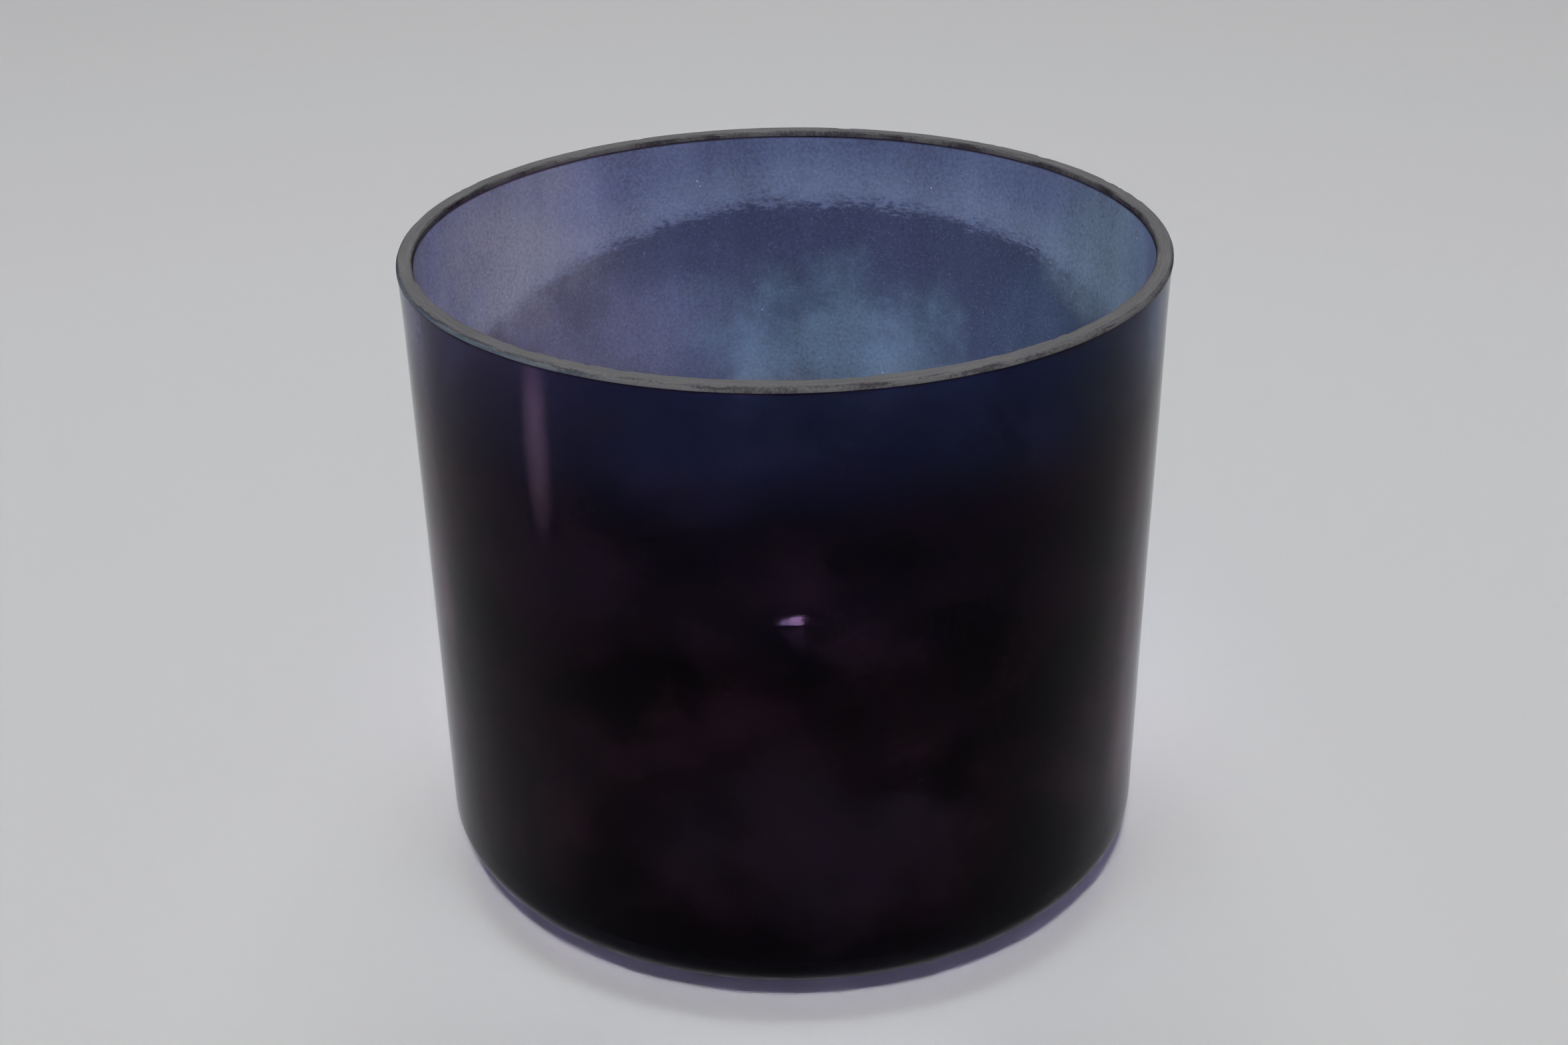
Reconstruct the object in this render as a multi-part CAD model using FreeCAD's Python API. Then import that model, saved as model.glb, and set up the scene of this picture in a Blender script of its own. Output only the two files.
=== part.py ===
import FreeCAD, Part
import math
import os

# A one-piece round vessel of fused quartz. The wall is straight and draws in slightly downwards,
# opens a little at the mouth, and turns through a rounded foot corner into a flat base. Its skin is
# coated, and its rim is ground bare, so the bare band is a node of its own: the two solids share
# one ring face, and on the real vessel they are the same piece.
#
# Origin: centre of the resting face. +Z points up through the mouth. All sizes are millimetres.

# ---- driving dimensions -------------------------------------------------------------------------
MOUTH_DIAMETER = 200.0      # across the outside of the rim
VESSEL_HEIGHT = 176.0       # from the resting face to the ground land
WALL = 4.2                  # thickness of the wall, measured level
BASE = 5.0                  # thickness of the floor

MOUTH_OPENING = 0.6         # how far the mouth opens outwards, in radius
MOUTH_DEPTH = 18.0          # depth below the ground band over which it opens
WALL_DRAW_IN = 1.6          # how far the wall draws in between the mouth and the foot, in radius

FOOT_HEIGHT = 16.0          # height of the rounded foot corner
FOOT_REACH = 34.0           # how far that corner reaches in under the vessel

RIM_BAND = 1.6              # height of the bare ground band
OUTER_BEVEL_WIDTH = 0.8     # ground bevel at the outside of the land
OUTER_BEVEL_HEIGHT = 1.2
INNER_BEVEL_WIDTH = 0.4     # ground bevel at the inside of the land
INNER_BEVEL_HEIGHT = 0.5

# ---- sizes that follow --------------------------------------------------------------------------
MOUTH_RADIUS = MOUTH_DIAMETER / 2
BAND_BOTTOM = VESSEL_HEIGHT - RIM_BAND
MOUTH_START = BAND_BOTTOM - MOUTH_DEPTH
NECK_RADIUS = MOUTH_RADIUS - MOUTH_OPENING
FOOT_RADIUS = NECK_RADIUS - WALL_DRAW_IN
RESTING_RADIUS = FOOT_RADIUS - FOOT_REACH
WALL_SLOPE = WALL_DRAW_IN / (MOUTH_START - FOOT_HEIGHT)

FULL_TURN = 360.0
ROUND_WEIGHT = math.sqrt(0.5)   # middle weight that turns a three-point curve into a quarter round


def point(radius, height):
    """A point of the section, in the XZ plane."""
    return FreeCAD.Vector(radius, 0, height)


def straight(*corners):
    """Straight edges through the corners, in order."""
    return [Part.LineSegment(a, b).toShape() for a, b in zip(corners, corners[1:])]


def bend(start, corner, end, weight):
    """A curve from start to end that leaves and arrives along the lines that meet at corner."""
    curve = Part.BezierCurve()
    curve.setPoles([start, corner, end])
    curve.setWeight(2, weight)
    return curve.toShape()


def skin(inset, floor_height):
    """One surface's section, from the axis out along the floor and up to the ground band.

    The outer skin has no inset and its floor is the resting face. The inner skin is the same line
    moved in by the wall, over a floor raised by the base.
    """
    centre = point(0, floor_height)
    floor_edge = point(RESTING_RADIUS, floor_height)
    foot_top = point(FOOT_RADIUS - inset, FOOT_HEIGHT)
    drop = FOOT_HEIGHT - floor_height
    foot_corner = point(FOOT_RADIUS - inset - WALL_SLOPE * drop, floor_height)
    neck = point(NECK_RADIUS - inset, MOUTH_START)
    half_depth = MOUTH_DEPTH / 2
    mouth_corner = point(NECK_RADIUS - inset + WALL_SLOPE * half_depth, MOUTH_START + half_depth)
    band = point(MOUTH_RADIUS - inset, BAND_BOTTOM)
    return [
        *straight(centre, floor_edge),
        bend(floor_edge, foot_corner, foot_top, ROUND_WEIGHT),
        *straight(foot_top, neck),
        bend(neck, mouth_corner, band, 1.0),
    ]


def turned(edges):
    """The closed section turned once round the vessel's axis, as one solid."""
    face = Part.Face(Part.Wire(Part.__sortEdges__(edges)))
    return face.revolve(point(0, 0), FreeCAD.Vector(0, 0, 1), FULL_TURN)


def coated_vessel():
    """Base, foot corner and wall, up to the flat ring that the ground band stands on."""
    axis = straight(point(0, 0), point(0, BASE))
    ring = straight(point(MOUTH_RADIUS, BAND_BOTTOM), point(MOUTH_RADIUS - WALL, BAND_BOTTOM))
    return turned([*skin(0, 0), *ring, *skin(WALL, BASE), *axis])


def ground_rim():
    """The bare band: a flat land between two ground bevels."""
    inner = MOUTH_RADIUS - WALL
    bottom_inside = point(inner, BAND_BOTTOM)
    section = straight(
        bottom_inside,
        point(MOUTH_RADIUS, BAND_BOTTOM),
        point(MOUTH_RADIUS, VESSEL_HEIGHT - OUTER_BEVEL_HEIGHT),
        point(MOUTH_RADIUS - OUTER_BEVEL_WIDTH, VESSEL_HEIGHT),
        point(inner + INNER_BEVEL_WIDTH, VESSEL_HEIGHT),
        point(inner, VESSEL_HEIGHT - INNER_BEVEL_HEIGHT),
        bottom_inside,
    )
    return turned(section)


def main():
    """Builds every node and writes one STEP file for each."""
    os.makedirs("parts", exist_ok=True)
    nodes = {"coated_vessel": coated_vessel(), "ground_rim": ground_rim()}
    for name, shape in nodes.items():
        shape.exportStep(f"parts/{name}.step")
        box = shape.BoundBox
        print(f"{name}: valid {shape.isValid()}, solids {len(shape.Solids)}, "
              f"{shape.Volume / 1000:.1f} cm3, radius {box.XMax:.2f}, "
              f"height {box.ZMin:.2f} to {box.ZMax:.2f} mm")


main()
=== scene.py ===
import logging
import math
import random
from dataclasses import dataclass, field
from enum import Enum
from typing import Callable, Sequence

import bmesh
import bpy
from mathutils import Matrix, Vector, noise


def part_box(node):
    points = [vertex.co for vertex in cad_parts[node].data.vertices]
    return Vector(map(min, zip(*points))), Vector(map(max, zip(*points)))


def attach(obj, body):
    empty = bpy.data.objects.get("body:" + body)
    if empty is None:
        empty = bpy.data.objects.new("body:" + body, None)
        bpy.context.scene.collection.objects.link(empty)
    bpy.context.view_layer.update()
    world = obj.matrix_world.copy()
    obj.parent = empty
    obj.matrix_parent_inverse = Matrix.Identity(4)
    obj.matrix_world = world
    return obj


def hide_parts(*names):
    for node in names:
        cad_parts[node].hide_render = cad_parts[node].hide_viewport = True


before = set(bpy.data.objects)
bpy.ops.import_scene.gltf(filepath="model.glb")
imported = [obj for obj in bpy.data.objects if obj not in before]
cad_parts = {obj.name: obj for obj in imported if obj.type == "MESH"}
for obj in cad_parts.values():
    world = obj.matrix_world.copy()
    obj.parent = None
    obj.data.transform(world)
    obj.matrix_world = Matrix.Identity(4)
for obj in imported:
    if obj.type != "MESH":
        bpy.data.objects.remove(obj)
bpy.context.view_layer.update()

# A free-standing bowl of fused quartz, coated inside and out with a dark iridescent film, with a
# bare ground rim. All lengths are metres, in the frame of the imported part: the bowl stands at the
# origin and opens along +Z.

LOG = logging.getLogger("bowl")
MM = 0.001
Colour = tuple[float, float, float, float]
Outline = list[tuple[float, float]]


class Skin(Enum):
    """Which face of the quartz wall a patch of mesh belongs to; the value is its material index."""

    OUTSIDE = 0
    INSIDE = 1


# ---- node trees ---------------------------------------------------------------------------------


class Tree:
    """A shader or group node tree that is built by short calls."""

    def __init__(self, tree: bpy.types.NodeTree) -> None:
        """Wraps an empty node tree.

        Args:
            tree: The tree that the nodes go in.
        """
        self.tree = tree

    def put(self, kind: str, settings: dict | None = None, **inputs: object) -> bpy.types.Node:
        """Adds one node.

        Args:
            kind: The node's type name, without the ShaderNode prefix.
            settings: Attributes of the node, such as its operation.
            inputs: Values or sockets for its inputs, by name with _ for a space, or by iN index.

        Returns:
            The new node.
        """
        node = self.tree.nodes.new(f"ShaderNode{kind}")
        for name, value in (settings or {}).items():
            setattr(node, name, value)
        for name, value in inputs.items():
            index = name[1:]
            socket = node.inputs[int(index)] if name[0] == "i" and index.isdigit() \
                else node.inputs[name.replace("_", " ")]
            if isinstance(value, bpy.types.NodeSocket):
                self.tree.links.new(value, socket)
            else:
                socket.default_value = value
        return node

    def maths(self, operation: str, *values: object, clamp: bool = False) -> bpy.types.NodeSocket:
        """A Math node's result for up to three numbers or sockets."""
        inputs = {f"i{n}": v for n, v in enumerate(values)}
        return self.put("Math", {"operation": operation, "use_clamp": clamp}, **inputs).outputs[0]

    def ramp(self, value: object, low: object, high: object,
             smooth: bool = True) -> bpy.types.NodeSocket:
        """0 up to low, 1 from high on, and a smooth or straight rise between.

        Args:
            value: The socket that is read.
            low: Where the rise starts.
            high: Where it ends; it may be under low, which turns the ramp round.
            smooth: Whether the rise is eased at both ends.

        Returns:
            The ramp's socket.
        """
        settings = {"interpolation_type": "SMOOTHSTEP" if smooth else "LINEAR"}
        return self.put("MapRange", settings, Value=value, From_Min=low,
                        From_Max=high).outputs[0]

    def mix(self, share: object, a: object, b: object,
            blend: str = "MIX") -> bpy.types.NodeSocket:
        """Two colours mixed by a share.

        Args:
            share: 0 gives a and 1 gives b.
            a: A colour or a socket.
            b: A colour or a socket.
            blend: The Mix node's way of mixing.

        Returns:
            The mixed colour's socket.
        """
        settings = {"data_type": "RGBA", "blend_type": blend, "clamp_factor": True}
        return self.put("Mix", settings, i0=share, i6=a, i7=b).outputs[2]


class Effect:
    """A shared shader node group with named inputs and outputs, built once."""

    made: dict[str, bpy.types.NodeTree] = {}

    def __init__(self, name: str, inputs: Sequence[tuple[str, str, object]],
                 outputs: Sequence[tuple[str, str]],
                 body: Callable[[Tree, dict], dict]) -> None:
        """States the group; it is built when it is first placed.

        Args:
            name: The group's name.
            inputs: Name, socket type (Float, Color or Vector) and default of each input.
            outputs: Name and socket type of each output.
            body: Builds the nodes from the input sockets and returns the output sockets by name.
        """
        self.name, self.inputs, self.outputs, self.body = name, inputs, outputs, body

    def tree(self) -> bpy.types.NodeTree:
        """Makes the group on first use.

        Returns:
            The group's node tree.
        """
        if self.name not in Effect.made:
            group = bpy.data.node_groups.new(self.name, "ShaderNodeTree")
            for name, kind, default in self.inputs:
                socket = group.interface.new_socket(name=name, in_out="INPUT",
                                                    socket_type=f"NodeSocket{kind}")
                if default is not None:
                    socket.default_value = default
            for name, kind in self.outputs:
                group.interface.new_socket(name=name, in_out="OUTPUT",
                                           socket_type=f"NodeSocket{kind}")
            start, end = group.nodes.new("NodeGroupInput"), group.nodes.new("NodeGroupOutput")
            given = {s.name: s for s in start.outputs if s.name}
            for name, socket in self.body(Tree(group), given).items():
                group.links.new(socket, end.inputs[name])
            Effect.made[self.name] = group
        return Effect.made[self.name]

    def place(self, tree: Tree, **values: object) -> bpy.types.Node:
        """Places the group in a material with its own values.

        Args:
            tree: The material's tree.
            values: Input values or sockets by name, with _ for a space.

        Returns:
            The group node.
        """
        return tree.put("Group", {"node_tree": self.tree()}, **values)


SIDE_FROM, SIDE_TO = 0.015, 0.095  # How far to the side a side's tint begins and is full.
BACK_OF_WALL = 0.097  # How far back the outside of the wall reaches.
CLOUDS_FROM, CLOUDS_TO = 0.020, 0.034  # The heights between which the low clouds set in.
CLOUDS_FULL, CLOUDS_THIN = 0.085, 0.145  # The heights between which they thin out again.
THIN_SHARE = 0.45  # What is left of them where they are thin.


def film_tint_nodes(t: Tree, given: dict) -> dict:
    """Colour of the film: a tint on each side and a dark, cloudy lower part, whose darkness is
    partly painted shade.

    The dark part ends at a level that falls toward the back by Low Tilt, so that the edge of this
    painted shade follows a shadow line. Its clouds are the film's own colour; they start above the
    foot corner and thin out higher up.

    Args:
        t: The group's tree.
        given: The group's input sockets by name.

    Returns:
        The Color socket.
    """
    place = t.put("TexCoord").outputs["Object"]
    x, y, z = t.put("SeparateXYZ", Vector=place).outputs
    cloud = t.put("TexNoise", Vector=place, Scale=given["Cloud Scale"], Detail=4.0,
                  Roughness=0.55).outputs["Fac"]
    wander = t.maths("SUBTRACT", cloud, 0.5)
    side = t.maths("MULTIPLY_ADD", wander, 0.08, x)
    left, right = t.ramp(side, -SIDE_FROM, -SIDE_TO), t.ramp(side, SIDE_FROM, SIDE_TO)
    sided = t.mix(right, t.mix(left, given["Middle"], given["Left"]), given["Right"])
    # Painted shade: below a level that rises toward the front, the film turns dark.
    sag = t.maths("MULTIPLY_ADD", wander, 0.025, z)
    behind = t.maths("SUBTRACT", t.maths("MAXIMUM", y, 0.0), BACK_OF_WALL)
    fall = t.maths("MULTIPLY_ADD", behind, given["Low Tilt"], sag)
    billow = t.put("TexNoise", Vector=place, Scale=given["Billow Scale"], Detail=5.0,
                   Roughness=0.62).outputs["Fac"]
    thinned = t.maths("MULTIPLY_ADD", t.ramp(z, CLOUDS_THIN, CLOUDS_FULL), 1.0 - THIN_SHARE,
                      THIN_SHARE)
    between = t.maths("MULTIPLY", t.ramp(z, CLOUDS_FROM, CLOUDS_TO), thinned)
    low = t.mix(t.maths("MULTIPLY", t.ramp(billow, 0.40, 0.74), between),
                given["Low"], given["Low Cloud"])
    return {"Color": t.mix(t.ramp(fall, given["Low Top"], given["Low Bottom"]), sided, low)}


FILM_TINT = Effect(
    "FilmTint",
    [("Left", "Color", None), ("Middle", "Color", None), ("Right", "Color", None),
     ("Low", "Color", None), ("Low Top", "Float", 0.1), ("Low Bottom", "Float", 0.04),
     ("Low Tilt", "Float", 0.0), ("Low Cloud", "Color", None), ("Billow Scale", "Float", 42.0),
     ("Cloud Scale", "Float", 14.0)],
    [("Color", "Color")], film_tint_nodes)


def unevenness_nodes(t: Tree, given: dict) -> dict:
    """A grey factor round 1 for an uneven film: wide clouds, upright streaks and fine grain.

    Args:
        t: The group's tree.
        given: The group's input sockets by name.

    Returns:
        The Factor socket.
    """
    place = t.put("TexCoord").outputs["Object"]
    cloud = t.put("TexNoise", Vector=place, Scale=14.0, Detail=4.0, Roughness=0.55)
    upright = t.put("VectorMath", {"operation": "MULTIPLY"}, i0=place,
                    i1=(1.0, 1.0, 0.2)).outputs[0]
    streak = t.put("TexNoise", Vector=upright, Scale=given["Streak Scale"], Detail=3.0,
                   Roughness=0.6)
    grain = t.put("TexNoise", Vector=place, Scale=given["Grain Scale"], Detail=2.0)
    total = 1.0
    for layer, size in ((cloud, "Clouds"), (streak, "Streaks"), (grain, "Grain")):
        total = t.maths("MULTIPLY_ADD", t.maths("SUBTRACT", layer.outputs["Fac"], 0.5),
                        given[size], total)
    return {"Factor": t.put("CombineColor", Red=total, Green=total, Blue=total).outputs[0]}


UNEVENNESS = Effect(
    "Unevenness",
    [("Clouds", "Float", 0.5), ("Streaks", "Float", 0.3), ("Grain", "Float", 0.5),
     ("Streak Scale", "Float", 45.0), ("Grain Scale", "Float", 1100.0)],
    [("Factor", "Color")], unevenness_nodes)


def cloud_nodes(t: Tree, given: dict) -> dict:
    """A mask of one soft-edged cloud round a centre, torn by noise.

    Args:
        t: The group's tree.
        given: The group's input sockets by name.

    Returns:
        The Mask socket.
    """
    place = t.put("TexCoord").outputs["Object"]
    away = t.put("VectorMath", {"operation": "SUBTRACT"}, i0=place, i1=given["Centre"])
    reach = t.put("VectorMath", {"operation": "DIVIDE"}, i0=away.outputs[0], i1=given["Reach"])
    torn = t.put("TexNoise", Vector=place, Scale=given["Grain"], Detail=5.0, Roughness=0.6)
    shift = t.put("VectorMath", {"operation": "SUBTRACT"}, i0=torn.outputs["Color"],
                  i1=(0.5, 0.5, 0.5))
    pull = t.put("VectorMath", {"operation": "SCALE"}, i0=shift.outputs[0],
                 Scale=given["Tear"])
    total = t.put("VectorMath", {"operation": "ADD"}, i0=reach.outputs[0], i1=pull.outputs[0])
    far = t.put("VectorMath", {"operation": "LENGTH"}, i0=total.outputs[0]).outputs["Value"]
    return {"Mask": t.ramp(far, 1.0, 0.1)}


CLOUD = Effect(
    "Cloud",
    [("Centre", "Vector", None), ("Reach", "Vector", None),
     ("Grain", "Float", 30.0), ("Tear", "Float", 0.8)],
    [("Mask", "Float")], cloud_nodes)


def painted_light_band_nodes(t: Tree, given: dict) -> dict:
    """A mask of painted light near the mouth: it ends at a rippled painted shadow line that dips to
    the sides.

    Args:
        t: The group's tree.
        given: The group's input sockets by name.

    Returns:
        The Mask socket, and a second socket for the painted brighter strip just above the line.
    """
    place = t.put("TexCoord").outputs["Object"]
    x, y, z = t.put("SeparateXYZ", Vector=place).outputs
    dipped = t.maths("MULTIPLY_ADD", t.maths("MAXIMUM", y, 0.0), given["Dip"], given["Height"])
    level = t.maths("MULTIPLY_ADD", x, given["Slope"], dipped)
    flat = t.put("VectorMath", {"operation": "MULTIPLY"}, i0=place,
                 i1=(1.0, 1.0, 3.2)).outputs[0]
    dashes = t.put("TexNoise", Vector=flat, Scale=150.0, Detail=1.5, Distortion=0.5)
    beads = t.put("TexNoise", Vector=flat, Scale=520.0, Detail=1.0, Distortion=0.3)
    swell = t.put("TexNoise", Vector=place, Scale=30.0, Detail=2.0)
    above = t.maths("SUBTRACT", z, level)
    for noise_node, size in ((dashes, given["Ripple"]), (beads, given["Beads"]),
                             (swell, given["Swell"])):
        above = t.maths("MULTIPLY_ADD", t.maths("SUBTRACT", noise_node.outputs["Fac"], 0.5),
                        size, above)
    # Painted shadow line: the painted lit band ends here, with a painted brighter strip just above
    # it.
    edge = t.ramp(above, -0.0040, 0.0030)
    edge_light = t.maths("MULTIPLY", edge, t.ramp(above, 0.017, 0.001))
    back = t.ramp(y, given["Front End"], given["Back End"])
    return {"Mask": t.maths("MULTIPLY", edge, back), "Lip": t.maths("MULTIPLY", edge_light, back)}


PAINTED_LIGHT_BAND = Effect(
    "PaintedLightBand",
    [("Height", "Float", 0.13), ("Dip", "Float", 0.25), ("Slope", "Float", 0.06),
     ("Ripple", "Float", 0.0065), ("Beads", "Float", 0.007), ("Swell", "Float", 0.004),
     ("Front End", "Float", -0.03), ("Back End", "Float", 0.03)],
    [("Mask", "Float"), ("Lip", "Float")], painted_light_band_nodes)


def ripple_nodes(t: Tree, given: dict) -> dict:
    """Height of the fine ripple that the quartz keeps from its fusing, like orange peel.

    Args:
        t: The group's tree.
        given: The group's input sockets by name.

    Returns:
        The Height socket.
    """
    place = t.put("TexCoord").outputs["Object"]
    coarse = t.put("TexNoise", Vector=place, Scale=given["Wave Scale"], Detail=1.0,
                   Distortion=0.4).outputs["Fac"]
    fine = t.put("TexNoise", Vector=place, Scale=given["Peel Scale"], Detail=2.0).outputs["Fac"]
    return {"Height": t.maths("ADD", t.maths("MULTIPLY", coarse, given["Wave"]),
                              t.maths("MULTIPLY", fine, given["Peel"]))}


RIPPLE = Effect(
    "Ripple",
    [("Wave Scale", "Float", 60.0), ("Wave", "Float", 1.0),
     ("Peel Scale", "Float", 420.0), ("Peel", "Float", 0.05)],
    [("Height", "Float")], ripple_nodes)


def speck_nodes(t: Tree, given: dict) -> dict:
    """A mask of scattered dots: each cell of the grid may hold one small round dot.

    Args:
        t: The group's tree.
        given: The group's input sockets by name.

    Returns:
        The Mask socket.
    """
    place = t.put("TexCoord").outputs["Object"]
    cell = t.put("TexVoronoi", {"feature": "F1"}, Vector=place, Scale=given["Scale"])
    near = t.maths("LESS_THAN", cell.outputs["Distance"], given["Size"])
    chosen = t.maths("GREATER_THAN",
                     t.put("SeparateColor", Color=cell.outputs["Color"]).outputs[0],
                     given["Rarity"])
    return {"Mask": t.maths("MULTIPLY", near, chosen)}


SPECKS = Effect(
    "Specks",
    [("Scale", "Float", 200.0), ("Size", "Float", 0.1), ("Rarity", "Float", 0.8)],
    [("Mask", "Float")], speck_nodes)


# ---- finishes -----------------------------------------------------------------------------------


@dataclass(frozen=True)
class Blotch:
    """One soft cloud of colour in a film: mostly where the coating is thinner or denser, and once a
    painted reflection streak.

    Attributes:
        colour: The film's colour in the cloud.
        strength: How much of that colour shows at the middle.
        centre: The middle of the cloud.
        reach: How far it reaches along each axis.
        grain: Scale of the noise that tears its edge.
        tear: How far the noise pulls the edge, as a share of the reach.
    """

    colour: Colour
    strength: float
    centre: tuple[float, float, float]
    reach: tuple[float, float, float]
    grain: float = 30.0
    tear: float = 0.8

    def mask(self, tree: Tree) -> bpy.types.NodeSocket:
        """The cloud's shape alone, from 0 to 1."""
        return CLOUD.place(tree, Centre=self.centre, Reach=self.reach, Grain=self.grain,
                           Tear=self.tear).outputs["Mask"]

    def over(self, tree: Tree, under: bpy.types.NodeSocket) -> bpy.types.NodeSocket:
        """Mixes the cloud over the colour under it."""
        return tree.mix(tree.maths("MULTIPLY", self.mask(tree), self.strength), under, self.colour)


@dataclass(frozen=True)
class Dots:
    """Scattered specks, all over or in one cloud only.

    Attributes:
        colour: The specks' colour.
        scale: Cells of the grid in a metre, one speck in a cell at most.
        size: A speck's radius as a share of its cell.
        rarity: Share of the cells that stay empty.
        strength: How much of the colour shows.
        within: The cloud that the specks keep to.
    """

    colour: Colour
    scale: float
    size: float
    rarity: float
    strength: float = 1.0
    within: Blotch | None = None

    def over(self, tree: Tree, under: bpy.types.NodeSocket) -> bpy.types.NodeSocket:
        """Mixes the specks over a colour.

        Args:
            tree: The material's tree.
            under: The colour they lie on.

        Returns:
            The mixed colour.
        """
        mask = SPECKS.place(tree, Scale=self.scale, Size=self.size,
                            Rarity=self.rarity).outputs["Mask"]
        if self.within:
            mask = tree.maths("MULTIPLY", mask, self.within.mask(tree))
        return tree.mix(tree.maths("MULTIPLY", mask, self.strength), under, self.colour)


@dataclass(frozen=True)
class PaintedLightBand:
    """Painted light at the back of the inside: a paler band under the mouth, ending at a rippled
    painted shadow line.

    Attributes:
        colour: The painted lit colour above the rippled line.
        edge_light_colour: The painted brighter light just above it.
        height: The line's height at the sides.
        dip: Rise of the line for each metre toward the back.
        slope: Rise of the line for each metre to the right.
    """

    colour: Colour
    edge_light_colour: Colour
    height: float
    dip: float
    slope: float

    def over(self, tree: Tree, under: bpy.types.NodeSocket) -> bpy.types.NodeSocket:
        """Mixes the band and its lip over a colour.

        Args:
            tree: The material's tree.
            under: The colour they lie on.

        Returns:
            The mixed colour.
        """
        band = PAINTED_LIGHT_BAND.place(tree, Height=self.height, Dip=self.dip, Slope=self.slope)
        mixed = tree.mix(band.outputs["Mask"], under, self.colour)
        return tree.mix(band.outputs["Lip"], mixed, self.edge_light_colour)


@dataclass(frozen=True)
class FilmFinish:
    """Coated quartz: a tinted, see-through film with gloss, ripple, clouds and specks.

    Attributes:
        name: The material's name.
        left: Tint on the left.
        middle: Tint in the middle.
        right: Tint on the right.
        low: Tint of the lower part, dark partly as painted shade.
        low_top: Height where the lower part begins, at the back of the wall.
        low_bottom: Height where it is reached in full, at the back of the wall.
        low_tilt: How much that level rises for each metre toward the front, so that the painted
            shade's edge follows a shadow line.
        low_cloud: Colour of the clouds in the lower part.
        grain: Strength of the fine grain.
        clouds: Strength of the wide clouds.
        streaks: Strength of the upright streaks.
        roughness: The surface's roughness.
        clear: Share of the light that passes through.
        ripple: Strength of the surface's ripple.
        layers: What lies over the tint, from the lowest up.
        rim_shadow: Colour of the painted shadow line at the top of the film, just under the ground
            rim.
        rim_shadow_height: Height of that line.
        gloss: Tint of the reflections.
        glass_index: Refractive index.
        ripple_depth: Depth of the ripple.
    """

    name: str
    left: Colour
    middle: Colour
    right: Colour
    low: Colour
    low_top: float
    low_bottom: float
    low_tilt: float
    low_cloud: Colour
    grain: float
    clouds: float
    streaks: float
    roughness: float
    clear: float
    ripple: float
    layers: tuple = ()
    rim_shadow: Colour = (0.030, 0.010, 0.022, 1.0)
    rim_shadow_height: float = 0.1744
    gloss: Colour = (1.0, 0.66, 0.85, 1.0)
    glass_index: float = 1.12
    ripple_depth: float = 0.4 * MM

    def material(self) -> bpy.types.Material:
        """Builds the finish.

        Returns:
            The new material.
        """
        material = bpy.data.materials.new(self.name)
        material.use_nodes = True
        tree, link = Tree(material.node_tree), material.node_tree.links.new
        shader = material.node_tree.nodes["Principled BSDF"]
        colour = FILM_TINT.place(
            tree, Left=self.left, Middle=self.middle, Right=self.right, Low=self.low,
            Low_Top=self.low_top, Low_Bottom=self.low_bottom, Low_Tilt=self.low_tilt,
            Low_Cloud=self.low_cloud).outputs["Color"]
        for layer in self.layers:
            colour = layer.over(tree, colour)
        uneven = UNEVENNESS.place(tree, Clouds=self.clouds, Streaks=self.streaks,
                                  Grain=self.grain)
        colour = tree.mix(1.0, colour, uneven.outputs["Factor"], "MULTIPLY")
        height = tree.put("SeparateXYZ", Vector=tree.put("TexCoord").outputs["Object"]).outputs[2]
        # Painted shadow: a thin dark line at the top of the film, just under the ground rim.
        rim_shadow = tree.ramp(height, self.rim_shadow_height - 0.8 * MM, self.rim_shadow_height - 0.3 * MM)
        colour = tree.mix(rim_shadow, colour, self.rim_shadow)
        link(colour, shader.inputs["Base Color"])
        waves = RIPPLE.place(tree)
        bump = tree.put("Bump", Strength=self.ripple, Distance=self.ripple_depth,
                        Height=waves.outputs["Height"])
        link(bump.outputs["Normal"], shader.inputs["Normal"])
        shader.inputs["Roughness"].default_value = self.roughness
        shader.inputs["Transmission Weight"].default_value = self.clear
        shader.inputs["IOR"].default_value = self.glass_index
        shader.inputs["Specular Tint"].default_value = self.gloss
        return material


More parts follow.
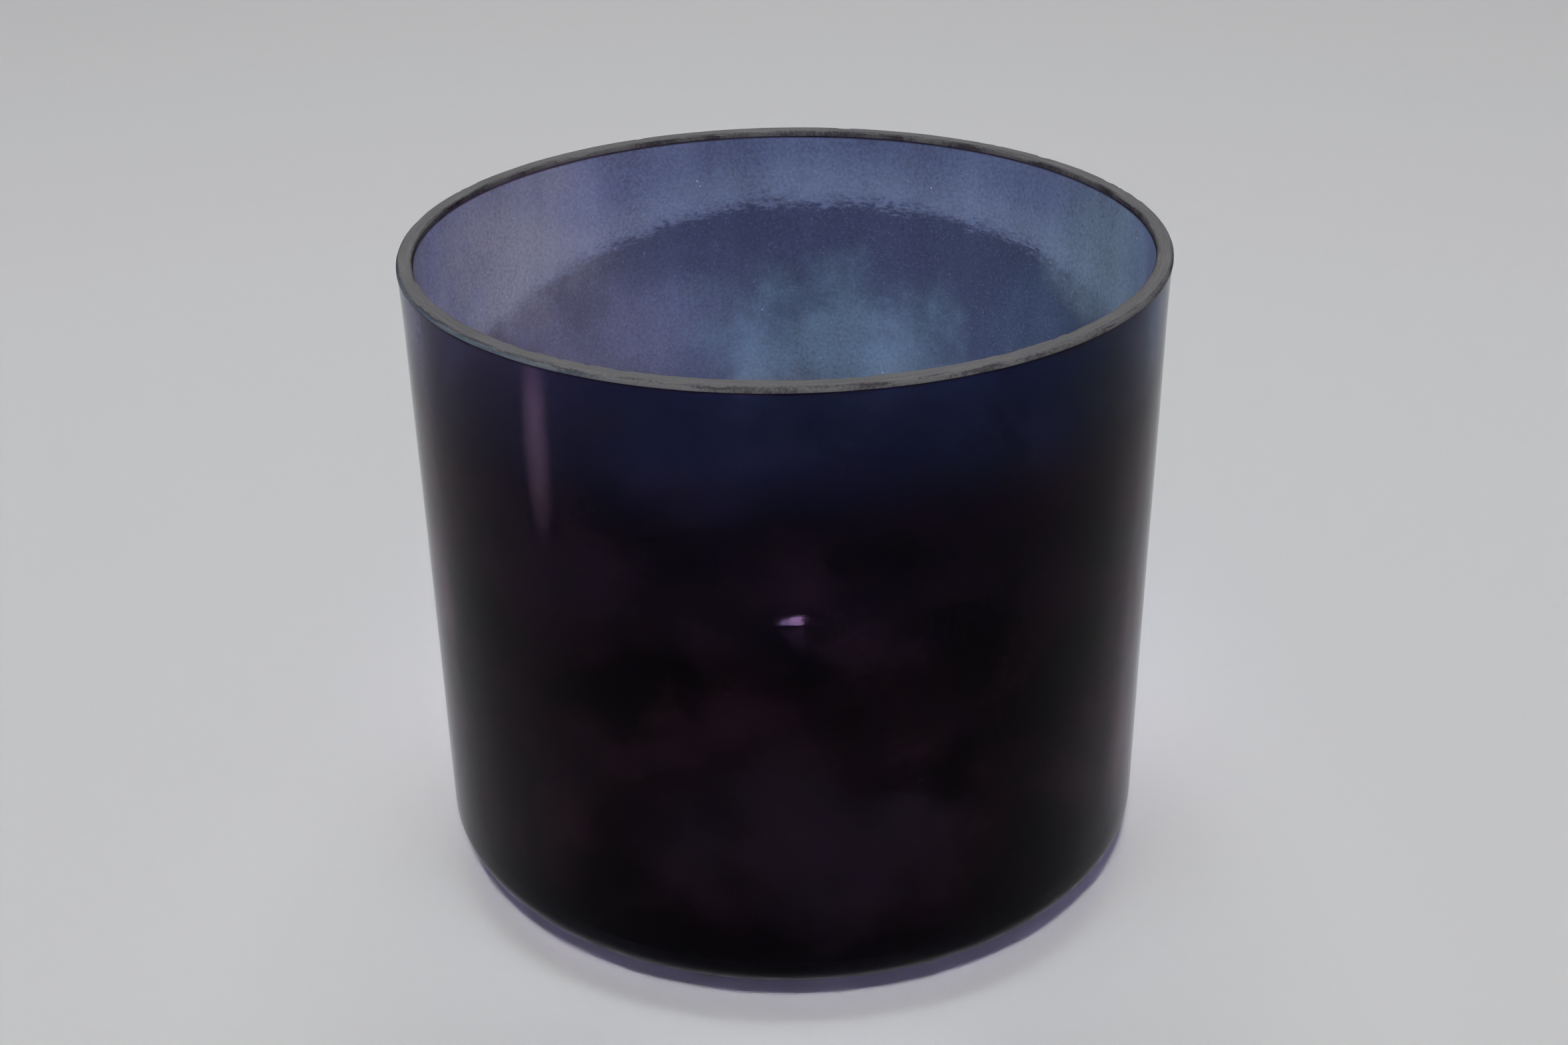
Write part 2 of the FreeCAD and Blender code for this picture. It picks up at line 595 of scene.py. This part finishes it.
@dataclass(frozen=True)
class GroundFinish:
    """Bare ground quartz: matt and grey, streaked round by the grinding, darker at its edges.

    Attributes:
        name: The material's name.
        light: Colour of the ground land where it is pale.
        dark: Colour where it is dark.
        edge: Colour laid darker along both edges of the band.
        glassy: Colour of the glossier outer edge on the left.
        outer: The band's outer radius.
        inner: Its inner radius.
        roughness: The surface's roughness.
        turns_scale: Scale of the streaks along the grinding.
        cut_scale: Scale of the streaks across it.
        dark_edge_share: How much of the edge's colour shows.
        glassy_share: How much of the glassy colour shows.
        glassy_smooth: How much smoother the glassy edge is.
    """

    name: str
    light: Colour
    dark: Colour
    edge: Colour
    glassy: Colour
    outer: float
    inner: float
    roughness: float
    turns_scale: float = 70.0
    cut_scale: float = 1600.0
    dark_edge_share: float = 0.7
    glassy_share: float = 0.45
    glassy_smooth: float = 0.35

    def material(self) -> bpy.types.Material:
        """Builds the finish.

        Returns:
            The new material.
        """
        material = bpy.data.materials.new(self.name)
        material.use_nodes = True
        tree, link = Tree(material.node_tree), material.node_tree.links.new
        shader = material.node_tree.nodes["Principled BSDF"]
        place = tree.put("TexCoord").outputs["Object"]
        x, y, _ = tree.put("SeparateXYZ", Vector=place).outputs
        across = tree.put("VectorMath", {"operation": "LENGTH"},
                          i0=tree.put("CombineXYZ", X=x, Y=y).outputs[0]).outputs["Value"]
        turned = tree.put("CombineXYZ", X=tree.maths("MULTIPLY", x, self.turns_scale),
                          Y=tree.maths("MULTIPLY", y, self.turns_scale),
                          Z=tree.maths("MULTIPLY", across, self.cut_scale)).outputs[0]
        cuts = tree.put("TexNoise", Vector=turned, Scale=1.0, Detail=4.0,
                        Roughness=0.65).outputs["Fac"]
        patch = tree.put("TexNoise", Vector=place, Scale=34.0, Detail=3.0).outputs["Fac"]
        grain = tree.put("TexNoise", Vector=place, Scale=1500.0, Detail=2.0).outputs["Fac"]
        share = tree.maths("ADD", tree.maths("MULTIPLY", cuts, 0.55),
                           tree.maths("ADD", tree.maths("MULTIPLY", patch, 0.30),
                                      tree.maths("MULTIPLY", grain, 0.25)))
        colour = tree.mix(tree.ramp(share, 0.36, 0.74, smooth=False), self.dark, self.light)
        # Darker along both edges of the band, broken up by noise.
        out_edge = tree.ramp(across, self.outer - 1.1 * MM, self.outer - 0.2 * MM)
        in_edge = tree.ramp(across, self.inner + 0.8 * MM, self.inner + 0.1 * MM)
        edge_breaks = tree.ramp(tree.maths("MULTIPLY_ADD", grain, 0.3, cuts), 0.72, 0.52)
        dark_edges = tree.maths("MULTIPLY", tree.maths("MAXIMUM", out_edge, in_edge), edge_breaks)
        colour = tree.mix(tree.maths("MULTIPLY", dark_edges, self.dark_edge_share), colour, self.edge)
        glossy_side = tree.maths("MULTIPLY", tree.ramp(across, self.outer - 0.5 * MM, self.outer),
                                 tree.ramp(x, -0.02, -0.075))
        colour = tree.mix(tree.maths("MULTIPLY", glossy_side, self.glassy_share), colour,
                          self.glassy)
        link(colour, shader.inputs["Base Color"])
        height = tree.maths("ADD", tree.maths("MULTIPLY", cuts, 0.6), grain)
        bump = tree.put("Bump", Strength=0.6, Distance=0.12 * MM, Height=height)
        link(bump.outputs["Normal"], shader.inputs["Normal"])
        rough = tree.maths("MULTIPLY_ADD", glossy_side, -self.glassy_smooth, self.roughness)
        link(rough, shader.inputs["Roughness"])
        shader.inputs["Specular IOR Level"].default_value = 0.0
        return material


@dataclass(frozen=True)
class PlainFinish:
    """An even, matt finish for the stage."""

    name: str
    colour: Colour
    roughness: float

    def material(self) -> bpy.types.Material:
        """Builds the finish.

        Returns:
            The new material.
        """
        material = bpy.data.materials.new(self.name)
        material.use_nodes = True
        shader = material.node_tree.nodes["Principled BSDF"]
        shader.inputs["Base Color"].default_value = self.colour
        shader.inputs["Roughness"].default_value = self.roughness
        shader.inputs["Specular IOR Level"].default_value = 0.0
        return material


# In both films the dark lower part is partly painted shade; its clouds are the film's own colour.
OUTER_FILM = FilmFinish(
    name="outer_film", left=(0.125, 0.118, 0.215, 1.0), middle=(0.050, 0.072, 0.160, 1.0),
    right=(0.056, 0.084, 0.165, 1.0), low=(0.011, 0.010, 0.016, 1.0), low_top=0.106,
    low_bottom=0.080, low_tilt=0.6, low_cloud=(0.185, 0.095, 0.145, 1.0), grain=0.4, clouds=1.0,
    streaks=0.5, roughness=0.04, clear=0.94, ripple=0.2,
    layers=(
        # A wide plum cloud, low in the middle of the front.
        Blotch((0.30, 0.19, 0.31, 1.0), 0.6, (0.006, -0.098, 0.054), (0.048, 0.050, 0.034),
               grain=50.0, tear=1.6),
        # Painted reflection: a pale pink upright highlight streak below the rim, left of the
        # middle.
        Blotch((1.0, 0.62, 0.86, 1.0), 0.85, (-0.0565, -0.081, 0.158), (0.0042, 0.03, 0.034),
               grain=90.0, tear=0.4),
        Dots((0.55, 0.55, 0.65, 1.0), scale=150.0, size=0.036, rarity=0.25),
    ))
WHITE = (1.0, 1.0, 1.0, 1.0)
INNER_FILM = FilmFinish(
    name="inner_film", left=(0.170, 0.158, 0.235, 1.0), middle=(0.105, 0.108, 0.195, 1.0),
    right=(0.080, 0.092, 0.170, 1.0), low=(0.020, 0.016, 0.030, 1.0), low_top=0.072,
    low_bottom=0.052, low_tilt=0.46, low_cloud=(0.03, 0.018, 0.026, 1.0), grain=1.3, clouds=1.0,
    streaks=1.0, roughness=0.05, clear=0.94, ripple=0.25,
    layers=(
        # Thin film at the back: a lilac patch, a pale patch and a small blue one.
        Blotch((0.37, 0.37, 0.56, 1.0), 0.9, (-0.045, 0.082, 0.112), (0.062, 0.075, 0.034),
               grain=55.0, tear=1.1),
        Blotch((0.48, 0.74, 0.82, 1.0), 0.9, (0.012, 0.094, 0.102), (0.056, 0.050, 0.040),
               grain=60.0, tear=1.3),
        Blotch((0.20, 0.32, 0.50, 1.0), 0.35, (0.074, 0.060, 0.122), (0.020, 0.040, 0.030),
               grain=45.0, tear=0.9),
        # Painted light: a paler band at the back under the mouth, ending at a rippled painted
        # shadow line.
        PaintedLightBand((0.37, 0.41, 0.66, 1.0), (0.62, 0.68, 0.86, 1.0), height=0.1312, dip=0.25,
                  slope=0.06),
        # Thin film by the mouth, on the left and on the right.
        Blotch((0.86, 0.84, 0.80, 1.0), 0.8, (-0.078, 0.050, 0.155), (0.036, 0.055, 0.030),
               grain=60.0, tear=1.2),
        Blotch((0.80, 1.0, 1.0, 1.0), 0.9, (0.089, 0.035, 0.156), (0.022, 0.045, 0.030),
               grain=40.0, tear=0.9),
        # Fine white specks, dense on the left and sparse elsewhere.
        Dots(WHITE, scale=1300.0, size=0.36, rarity=0.45, strength=0.6,
             within=Blotch(WHITE, 1.0, (-0.075, 0.058, 0.153), (0.036, 0.05, 0.028), grain=60.0,
                           tear=1.3)),
        Dots(WHITE, scale=1500.0, size=0.30, rarity=0.75, strength=0.28),
    ))
GROUND_QUARTZ = GroundFinish(
    name="ground_quartz", light=(0.205, 0.202, 0.206, 1.0), dark=(0.120, 0.118, 0.126, 1.0),
    edge=(0.035, 0.030, 0.042, 1.0), glassy=(0.16, 0.24, 0.34, 1.0), outer=0.1,
    inner=0.0958, roughness=0.75)
PALE_FLOOR = PlainFinish(name="pale_floor", colour=(0.72, 0.72, 0.73, 1.0), roughness=0.7)


# ---- meshes -------------------------------------------------------------------------------------


def bend(start: tuple[float, float], corner: tuple[float, float], end: tuple[float, float],
         weight: float, steps: int) -> Outline:
    """Points on a curve that leaves start and reaches end along the lines that meet at corner.

    Args:
        start: First point, as radius and height.
        corner: Where the two end tangents meet.
        end: Last point.
        weight: Pull of the corner; the square root of a half gives a quarter round.
        steps: Number of steps; the start itself is left out.

    Returns:
        The points after start, up to end.
    """
    points = []
    for n in range(1, steps + 1):
        t = n / steps
        a, b, c = (1 - t) ** 2, 2 * t * (1 - t) * weight, t ** 2
        total = a + b + c
        points.append(tuple((a * p + b * q + c * r) / total
                            for p, q, r in zip(start, corner, end)))
    return points


def run(start: tuple[float, float], end: tuple[float, float], steps: int) -> Outline:
    """Evenly spaced points on a straight line, after start and up to end."""
    return [tuple(p + (q - p) * n / steps for p, q in zip(start, end))
            for n in range(1, steps + 1)]


def finish_mesh(mesh: bmesh.types.BMesh, name: str, sharp_degrees: float) -> bpy.types.Object:
    """Turns a closed mesh's faces outwards, shades it smooth and makes a piece of it.

    Args:
        mesh: The mesh, which is freed.
        name: The piece's name.
        sharp_degrees: Edges that turn by more than this stay sharp.

    Returns:
        The new object.
    """
    bmesh.ops.recalc_face_normals(mesh, faces=mesh.faces)
    for face in mesh.faces:
        face.smooth = True
    data = bpy.data.meshes.new(name)
    mesh.to_mesh(data)
    mesh.free()
    data.set_sharp_from_angle(angle=math.radians(sharp_degrees))
    piece = bpy.data.objects.new(name, data)
    bpy.context.scene.collection.objects.link(piece)
    return piece


class Lathe:
    """Turns outlines round the Z axis into one mesh."""

    def __init__(self, segments: int) -> None:
        """Starts an empty mesh.

        Args:
            segments: Number of steps round the axis.
        """
        self.segments = segments
        self.mesh = bmesh.new()

    def ring(self, radius: float, height: float,
             shift: Callable[[float, float, float], tuple[float, float]]) -> list:
        """One ring of vertices, or a single one on the axis.

        Args:
            radius: The ring's radius.
            height: Its height.
            shift: Gives the radius and height to use at an angle.

        Returns:
            The ring's vertices.
        """
        if radius < 1e-9:
            return [self.mesh.verts.new((0.0, 0.0, height))]
        verts = []
        for n in range(self.segments):
            angle = 2 * math.pi * n / self.segments
            r, z = shift(angle, radius, height)
            verts.append(self.mesh.verts.new((r * math.cos(angle), r * math.sin(angle), z)))
        return verts

    def join(self, a: list, b: list, material: int) -> None:
        """Faces between two neighbouring rings.

        Args:
            a: The first ring, or the single vertex on the axis.
            b: The next ring.
            material: The faces' material index.
        """
        for n in range(self.segments):
            m = (n + 1) % self.segments
            corners = (a[0], b[n], b[m]) if len(a) == 1 else (a[n], b[n], b[m], a[m])
            self.mesh.faces.new(corners).material_index = material


@dataclass
class Vessel:
    """Base, foot corner and wall of the bowl, as one closed shell with a film on each side."""

    radius: float
    top: float
    wall: float = 4.2 * MM
    base: float = 5.0 * MM
    mouth_opening: float = 0.6 * MM
    mouth_depth: float = 18.0 * MM
    draw_in: float = 1.6 * MM
    foot_height: float = 16.0 * MM
    foot_reach: float = 34.0 * MM
    seam_gap: float = 0.03 * MM
    unevenness: float = 0.10 * MM
    segments: int = 288

    def skin(self, inset: float, floor: float) -> Outline:
        """One surface's outline, from the axis to the ground band.

        Args:
            inset: How far the surface lies inside the outer one.
            floor: The height of its floor.

        Returns:
            Radius and height of each point.
        """
        neck_r = self.radius - self.mouth_opening
        neck_z = self.top - self.mouth_depth
        foot_r = neck_r - self.draw_in
        slope = self.draw_in / (neck_z - self.foot_height)
        centre, floor_edge = (0.0, floor), (foot_r - self.foot_reach, floor)
        foot_top = (foot_r - inset, self.foot_height)
        foot_corner = (foot_r - inset - slope * (self.foot_height - floor), floor)
        neck = (neck_r - inset, neck_z)
        half = self.mouth_depth / 2
        mouth_corner = (neck_r - inset + slope * half, neck_z + half)
        end = (self.radius - inset, self.top - self.seam_gap)
        return [centre, *run(centre, floor_edge, 6),
                *bend(floor_edge, foot_corner, foot_top, math.sqrt(0.5), 18),
                *run(foot_top, neck, 34), *bend(neck, mouth_corner, end, 1.0, 6)]

    def waver(self, angle: float, radius: float, height: float) -> tuple[float, float]:
        """The slight unevenness of a hand-made wall, always inwards of the true round.

        Args:
            angle: Where round the wall.
            radius: The true radius there.
            height: The height there.

        Returns:
            The radius and the height to use.
        """
        depth = self.unevenness * (1.0 + math.sin(3 * angle + 40 * height) * 0.6
                                   + math.sin(7 * angle - 55 * height + 1.0) * 0.4)
        share = min(max(height / self.foot_height, 0.0), 1.0)
        return radius - depth * share, height

    def build(self) -> bpy.types.Object:
        """Builds the shell and gives each side its film.

        Returns:
            The shell.
        """
        lathe = Lathe(self.segments)
        outside = [lathe.ring(r, z, self.waver) for r, z in self.skin(0.0, 0.0)]
        inside = [lathe.ring(r, z, self.waver) for r, z in self.skin(self.wall, self.base)]
        for rings, skin in ((outside, Skin.OUTSIDE), (inside, Skin.INSIDE)):
            for a, b in zip(rings, rings[1:]):
                lathe.join(a, b, skin.value)
        lathe.join(outside[-1], inside[-1], Skin.OUTSIDE.value)
        piece = finish_mesh(lathe.mesh, "bowl_shell", 50.0)
        for finish in (OUTER_FILM, INNER_FILM):
            piece.data.materials.append(finish.material())
        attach(piece, "root")
        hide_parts("coated_vessel")
        return piece


@dataclass
class Nick:
    """A small shell-shaped chip out of an edge of the ground band."""

    angle: float
    half_length: float
    depth: float

    def bite(self, angle: float, radius: float) -> float:
        """How deep the chip is at an angle, from nothing to its depth.

        Args:
            angle: Where round the edge.
            radius: The edge's radius.

        Returns:
            The depth there.
        """
        away = (angle - self.angle + math.pi) % (2 * math.pi) - math.pi
        share = abs(away) * radius / self.half_length
        return self.depth * math.sqrt(1 - share * share) if share < 1 else 0.0


@dataclass
class GroundRim:
    """The bare ground band: a flat land between two bevels, with nicked edges."""

    radius: float
    bottom: float
    top: float
    wall: float = 4.2 * MM
    outer_bevel: tuple[float, float] = (0.8 * MM, 1.2 * MM)
    inner_bevel: tuple[float, float] = (0.4 * MM, 0.5 * MM)
    segments: int = 1080
    seed: int = 7
    outer_nicks: list[Nick] = field(default_factory=list)
    inner_nicks: list[Nick] = field(default_factory=list)

    def __post_init__(self) -> None:
        """Scatters the nicks round both edges."""
        dice = random.Random(self.seed)
        for nicks, count in ((self.outer_nicks, 22), (self.inner_nicks, 34)):
            for _ in range(count):
                nicks.append(Nick(dice.uniform(0, 2 * math.pi), dice.uniform(0.8, 3.2) * MM,
                                  dice.uniform(0.15, 0.6) * MM))

    def wear(self, angle: float, phase: float) -> float:
        """A share from 0 to 1 that wanders round the rim, for an edge that isn't cut evenly."""
        at = Vector((math.cos(angle), math.sin(angle), phase))
        return 0.5 + 0.5 * noise.noise(at * 9.0) + 0.25 * noise.noise(at * 41.0)

    def section(self, angle: float) -> Outline:
        """The band's section at an angle, round from its inner foot.

        Args:
            angle: Where round the band.

        Returns:
            Radius and height of each corner.
        """
        inner, r, z = self.radius - self.wall, self.radius, self.top
        out_bite = max(n.bite(angle, r) for n in self.outer_nicks)
        in_bite = max(n.bite(angle, inner) for n in self.inner_nicks)
        out_w = self.outer_bevel[0] * (0.7 + 0.4 * self.wear(angle, 0.0)) + out_bite
        out_h = self.outer_bevel[1] * (0.7 + 0.4 * self.wear(angle, 3.0)) + out_bite * 0.3
        in_w = self.inner_bevel[0] * (0.6 + 0.7 * self.wear(angle, 6.0)) + in_bite
        in_h = self.inner_bevel[1] * (0.6 + 0.7 * self.wear(angle, 9.0)) + in_bite * 0.9
        land = 0.04 * MM * (self.wear(angle, 12.0) - 1.3)
        return [(inner, self.bottom), (r, self.bottom), (r, z - out_h),
                (r - out_w * 0.35, z - out_h * 0.45), (r - out_w, z + land - 0.02 * MM),
                (r - out_w - 0.5 * MM, z + land), (inner + in_w + 0.5 * MM, z + land),
                (inner + in_w, z + land - 0.02 * MM), (inner + in_w * 0.4, z - in_h * 0.5),
                (inner, z - in_h)]

    def build(self) -> bpy.types.Object:
        """Builds the band as one closed ring.

        Returns:
            The band.
        """
        mesh = bmesh.new()
        rings = []
        for n in range(self.segments):
            angle = 2 * math.pi * n / self.segments
            c, s = math.cos(angle), math.sin(angle)
            rings.append([mesh.verts.new((r * c, r * s, z)) for r, z in self.section(angle)])
        for n, ring in enumerate(rings):
            after = rings[(n + 1) % self.segments]
            for k in range(len(ring)):
                m = (k + 1) % len(ring)
                mesh.faces.new((ring[k], after[k], after[m], ring[m]))
        piece = finish_mesh(mesh, "ground_rim_band", 35.0)
        piece.data.materials.append(GROUND_QUARTZ.material())
        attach(piece, "root")
        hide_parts("ground_rim")
        return piece


# ---- stage --------------------------------------------------------------------------------------


@dataclass(frozen=True)
class SoftLight:
    """One soft studio panel that faces a point on the bowl."""

    name: str
    azimuth: float
    elevation: float
    distance: float
    size: tuple[float, float]
    power: float
    colour: tuple[float, float, float] = (1.0, 1.0, 1.0)
    aim: tuple[float, float, float] = (0.0, 0.0, 0.09)
    gloss_only: bool = False

    def build(self) -> bpy.types.Object:
        """Places the panel.

        Returns:
            The lamp.
        """
        data = bpy.data.lights.new(self.name, "AREA")
        data.shape, (data.size, data.size_y) = "RECTANGLE", self.size
        data.energy, data.color = self.power, self.colour
        lamp = bpy.data.objects.new(self.name, data)
        a, e = math.radians(self.azimuth), math.radians(self.elevation)
        back = Vector((math.sin(a) * math.cos(e), -math.cos(a) * math.cos(e), math.sin(e)))
        lamp.location = Vector(self.aim) + back * self.distance
        lamp.rotation_euler = (-back).to_track_quat("-Z", "Y").to_euler()
        lamp.visible_diffuse = not self.gloss_only
        bpy.context.scene.collection.objects.link(lamp)
        return lamp


@dataclass(frozen=True)
class Stage:
    """Pale floor, soft light and the camera."""

    floor_half: float = 6.0
    floor_drop: float = 0.05 * MM
    camera_at: tuple[float, float, float] = (0.0105, -0.5394, 0.3627)
    heading: float = 1.25
    pitch: float = 26.58
    roll: float = -0.93
    lens: float = 50.0
    air_strength: float = 0.06
    lights: tuple = (
        SoftLight("key_panel", azimuth=-3, elevation=54, distance=5.0, size=(0.5, 0.5),
                  power=134.0),
        SoftLight("ceiling_panel", azimuth=180, elevation=72, distance=3.0, size=(1.6, 1.2),
                  power=30.0),
        SoftLight("catch_light", azimuth=-2, elevation=74, distance=1.1, size=(0.06, 0.5),
                  power=400.0, colour=(0.88, 0.95, 1.0), aim=(0.0, 0.09, 0.0),
                  gloss_only=True),
    )

    def floor(self) -> bpy.types.Object:
        """A wide pale floor that meets the resting face.

        Returns:
            The floor.
        """
        h = self.floor_half
        data = bpy.data.meshes.new("floor")
        data.from_pydata([(-h, -h, 0), (h, -h, 0), (h, h, 0), (-h, h, 0)], [], [(0, 1, 2, 3)])
        data.materials.append(PALE_FLOOR.material())
        floor = bpy.data.objects.new("floor", data)
        bpy.context.scene.collection.objects.link(floor)
        floor.location.z = -self.floor_drop
        return floor

    def camera(self) -> bpy.types.Object:
        """The camera, looking down at the bowl from in front.

        Returns:
            The camera.
        """
        data = bpy.data.cameras.new("camera")
        data.lens, data.sensor_width, data.sensor_fit = self.lens, 36.0, "HORIZONTAL"
        data.clip_start, data.clip_end = 0.01, 50.0
        camera = bpy.data.objects.new("camera", data)
        camera.matrix_world = (
            Matrix.Translation(self.camera_at)
            @ Matrix.Rotation(math.radians(self.heading), 4, "Z")
            @ Matrix.Rotation(math.radians(90 - self.pitch), 4, "X")
            @ Matrix.Rotation(math.radians(self.roll), 4, "Z"))
        bpy.context.scene.collection.objects.link(camera)
        bpy.context.scene.camera = camera
        return camera

    def air(self) -> None:
        """An even, pale surrounding light."""
        world = bpy.data.worlds.new("studio")
        bpy.context.scene.world = world
        world.use_nodes = True
        background = world.node_tree.nodes["Background"]
        background.inputs["Color"].default_value = (0.93, 0.95, 1.0, 1.0)
        background.inputs["Strength"].default_value = self.air_strength

    def build(self) -> None:
        """Builds everything round the bowl."""
        self.floor()
        self.air()
        self.camera()
        for light in self.lights:
            light.build()
        bpy.context.scene.view_settings.view_transform = "Standard"


def main() -> None:
    """Builds the stage and the bowl, in order."""
    logging.basicConfig(level=logging.INFO, format="%(name)s: %(message)s")
    vessel_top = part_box("coated_vessel")[1].z
    rim_low, rim_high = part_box("ground_rim")
    radius = min(rim_high.x, rim_high.y, -rim_low.x, -rim_low.y)
    Stage().build()
    pieces = [Vessel(radius=radius, top=vessel_top).build(),
              GroundRim(radius=radius, bottom=rim_low.z, top=rim_high.z).build()]
    for piece in pieces:
        LOG.info("%s: %d faces", piece.name, len(piece.data.polygons))


if __name__ == "__main__":
    main()
